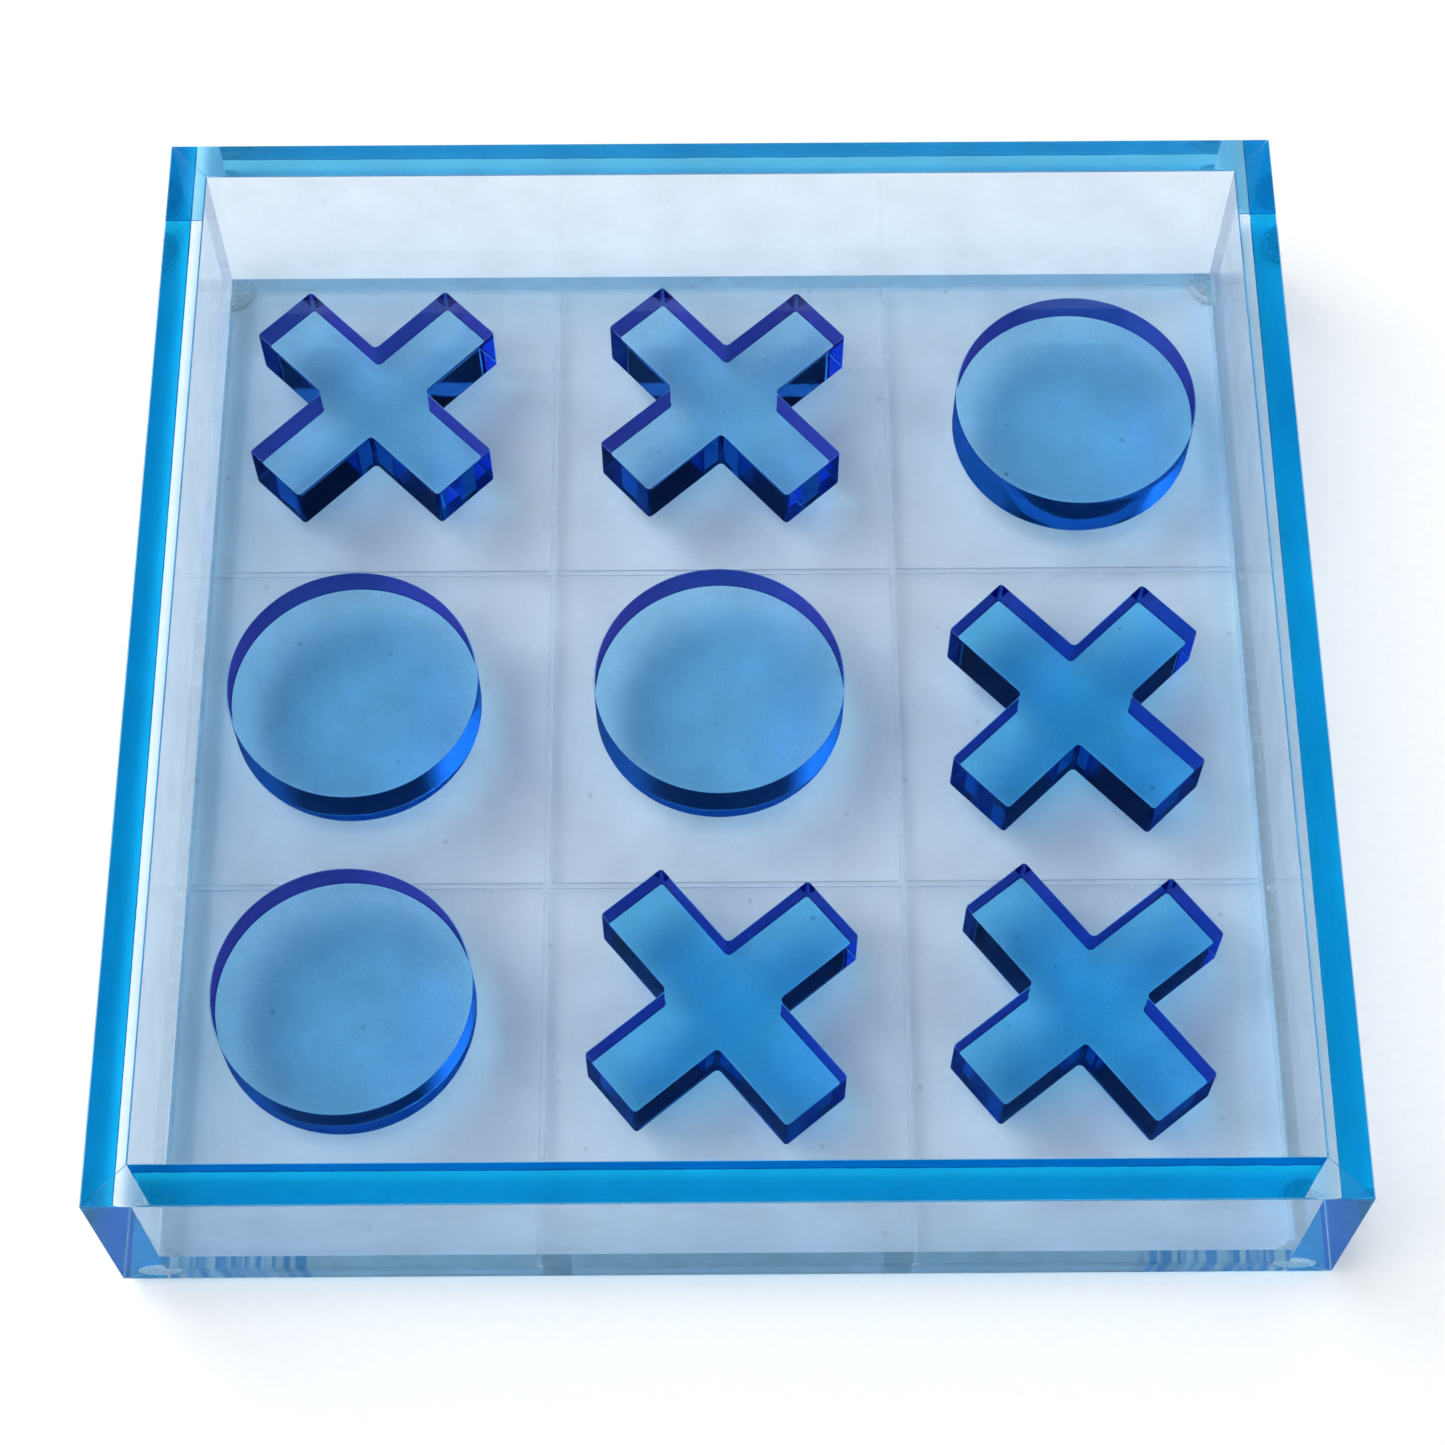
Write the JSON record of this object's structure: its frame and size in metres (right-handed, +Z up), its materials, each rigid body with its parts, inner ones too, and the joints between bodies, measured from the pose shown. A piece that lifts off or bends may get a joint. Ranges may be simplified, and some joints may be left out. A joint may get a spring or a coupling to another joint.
{
  "type": "tic tac toe set",
  "caption": "Open square tray of tinted clear acrylic, engraved with a playing grid and standing on clear bumpers, that holds loose cross and disc markers.",
  "frame": {"origin": "centre of the tray's plan, on the surface that the feet stand on", "axes": "+Z up; +Y to the rear of the tray, away from the viewer; +X to the viewer's right"},
  "size_m": [0.232, 0.232, 0.0485],
  "materials": {
    "tray_acrylic": "polished",
    "marker_acrylic": "polished",
    "clear_bumper": "gloss"
  },
  "bodies": {
    "tray": {"base_plate": "tray_acrylic", "wall_front": "tray_acrylic", "wall_right": "tray_acrylic", "wall_rear": "tray_acrylic", "wall_left": "tray_acrylic", "foot_front_left": "clear_bumper", "foot_front_right": "clear_bumper", "foot_rear_left": "clear_bumper", "foot_rear_right": "clear_bumper"},
    "x_rear_left": {"x_rear_left": "marker_acrylic"},
    "x_rear_centre": {"x_rear_centre": "marker_acrylic"},
    "o_rear_right": {"o_rear_right": "marker_acrylic"},
    "o_middle_left": {"o_middle_left": "marker_acrylic"},
    "o_middle_centre": {"o_middle_centre": "marker_acrylic"},
    "x_middle_right": {"x_middle_right": "marker_acrylic"},
    "o_front_left": {"o_front_left": "marker_acrylic"},
    "x_front_centre": {"x_front_centre": "marker_acrylic"},
    "x_front_right": {"x_front_right": "marker_acrylic"}
  },
  "joints": [
    {"name": "lift_x_rear_left", "type": "slide", "parent": "tray", "child": "x_rear_left", "axis": [0, 0, 1], "range_m": [0, 0.05]},
    {"name": "lift_x_rear_centre", "type": "slide", "parent": "tray", "child": "x_rear_centre", "axis": [0, 0, 1], "range_m": [0, 0.05]},
    {"name": "lift_o_rear_right", "type": "slide", "parent": "tray", "child": "o_rear_right", "axis": [0, 0, 1], "range_m": [0, 0.05]},
    {"name": "lift_o_middle_left", "type": "slide", "parent": "tray", "child": "o_middle_left", "axis": [0, 0, 1], "range_m": [0, 0.05]},
    {"name": "lift_o_middle_centre", "type": "slide", "parent": "tray", "child": "o_middle_centre", "axis": [0, 0, 1], "range_m": [0, 0.05]},
    {"name": "lift_x_middle_right", "type": "slide", "parent": "tray", "child": "x_middle_right", "axis": [0, 0, 1], "range_m": [0, 0.05]},
    {"name": "lift_o_front_left", "type": "slide", "parent": "tray", "child": "o_front_left", "axis": [0, 0, 1], "range_m": [0, 0.05]},
    {"name": "lift_x_front_centre", "type": "slide", "parent": "tray", "child": "x_front_centre", "axis": [0, 0, 1], "range_m": [0, 0.05]},
    {"name": "lift_x_front_right", "type": "slide", "parent": "tray", "child": "x_front_right", "axis": [0, 0, 1], "range_m": [0, 0.05]}
  ]
}
